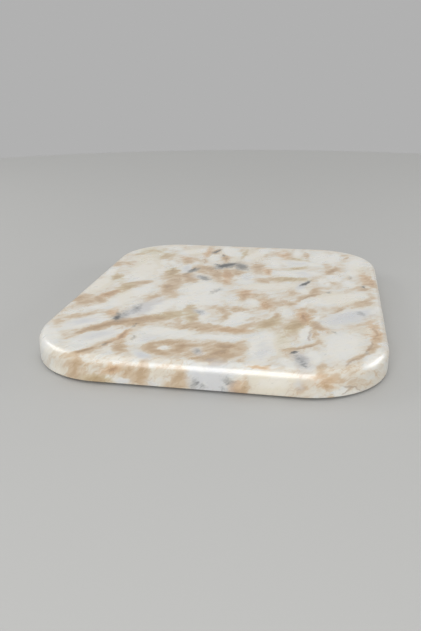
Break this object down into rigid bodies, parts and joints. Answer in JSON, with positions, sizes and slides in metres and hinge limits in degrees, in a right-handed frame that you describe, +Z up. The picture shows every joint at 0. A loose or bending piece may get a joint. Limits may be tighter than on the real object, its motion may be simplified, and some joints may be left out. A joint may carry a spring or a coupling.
{
  "type": "marble chopping board",
  "caption": "Polished marble chopping board, a rounded rectangle with a softly rounded top edge, standing on stick-on anti-slip pads.",
  "frame": {"origin": "on the table under the middle of the board, in the plane of the pads' undersides", "axes": "+Z up through the board, +Y along its longer side and away from the edge that faces the cook, +X to the right"},
  "size_m": [0.255, 0.3, 0.0205],
  "materials": {
    "marble": "polished cream, tan and white brecciated marble with thin grey-brown veins",
    "pad_rubber": "matt dark grey moulded rubber",
    "adhesive": "thin milky acrylic adhesive film"
  },
  "bodies": {
    "root": {"marble_slab": "marble", "pad_front_left": "pad_rubber", "pad_front_right": "pad_rubber", "pad_rear_left": "pad_rubber", "pad_rear_right": "pad_rubber", "adhesive_film_front_left": "adhesive", "adhesive_film_front_right": "adhesive", "adhesive_film_rear_left": "adhesive", "adhesive_film_rear_right": "adhesive"}
  },
  "joints": []
}
